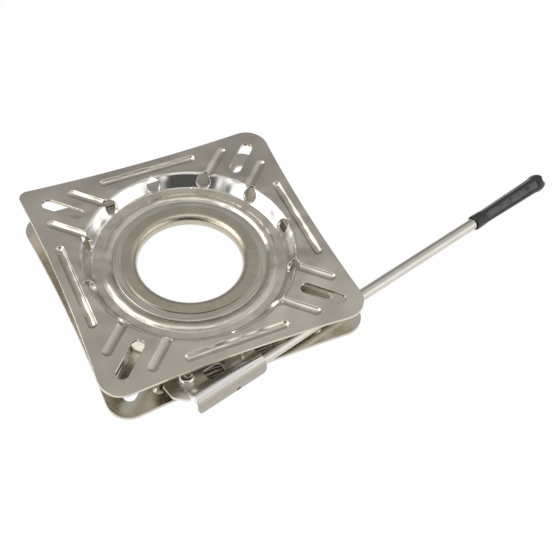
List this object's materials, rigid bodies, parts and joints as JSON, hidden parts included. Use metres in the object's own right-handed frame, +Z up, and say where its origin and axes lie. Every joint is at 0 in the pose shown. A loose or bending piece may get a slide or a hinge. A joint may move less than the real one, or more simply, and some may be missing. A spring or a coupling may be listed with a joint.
{
  "type": "swivel seat base",
  "caption": "Square swivel seat base: pressed steel plates, dish to dish, turn on a ball race round an open centre, with a catch lever and grip at one edge.",
  "frame": {"origin": "on the swivel axis at the underside of the lower plate", "axes": "+Z up along the swivel axis, +X and +Y through the lower plate's corner slots, with the catch at the side between +X and -Y"},
  "size_m": [0.3402, 0.2898, 0.025],
  "materials": {
    "plate_steel": "satin zinc-plated pressing",
    "ring_steel": "turned, satin",
    "wear_steel": "rolled, satin",
    "latch_steel": "satin zinc-plated pressing",
    "rod_steel": "drawn, satin",
    "fastener_steel": "bright zinc",
    "spring_steel": "oiled",
    "ball_steel": "polished",
    "cage_plastic": "moulded",
    "grip_plastic": "moulded, fine texture"
  },
  "bodies": {
    "base": {"base_plate": "plate_steel", "eyelet": "ring_steel", "upper_wear_ring": "wear_steel", "lower_wear_ring": "wear_steel", "pivot_post": "fastener_steel", "pivot_washer": "fastener_steel", "pivot_screw": "fastener_steel", "return_spring": "spring_steel"},
    "turntable": {"top_plate": "plate_steel"},
    "race": {"ball_cage": "cage_plastic", "bearing_balls": "ball_steel"},
    "lever": {"latch_plate": "latch_steel", "lever_rod": "rod_steel", "lever_grip": "grip_plastic"}
  },
  "joints": [
    {"name": "swivel", "type": "hinge", "parent": "base", "child": "turntable", "pos_m": [0, 0, 0], "axis": [0, 0, 1], "continuous": true},
    {"name": "race_turn", "type": "hinge", "parent": "base", "child": "race", "pos_m": [0, 0, 0], "axis": [0, 0, 1], "continuous": true},
    {"name": "lever", "type": "hinge", "parent": "base", "child": "lever", "pos_m": [0.03077, -0.08663, 0], "axis": [0, 0, 1], "range_deg": [0, 7.5], "deforming": ["return_spring"]}
  ],
  "couplings": [
    {"joint": "race_turn", "follows": "swivel", "ratio": 0.5}
  ]
}
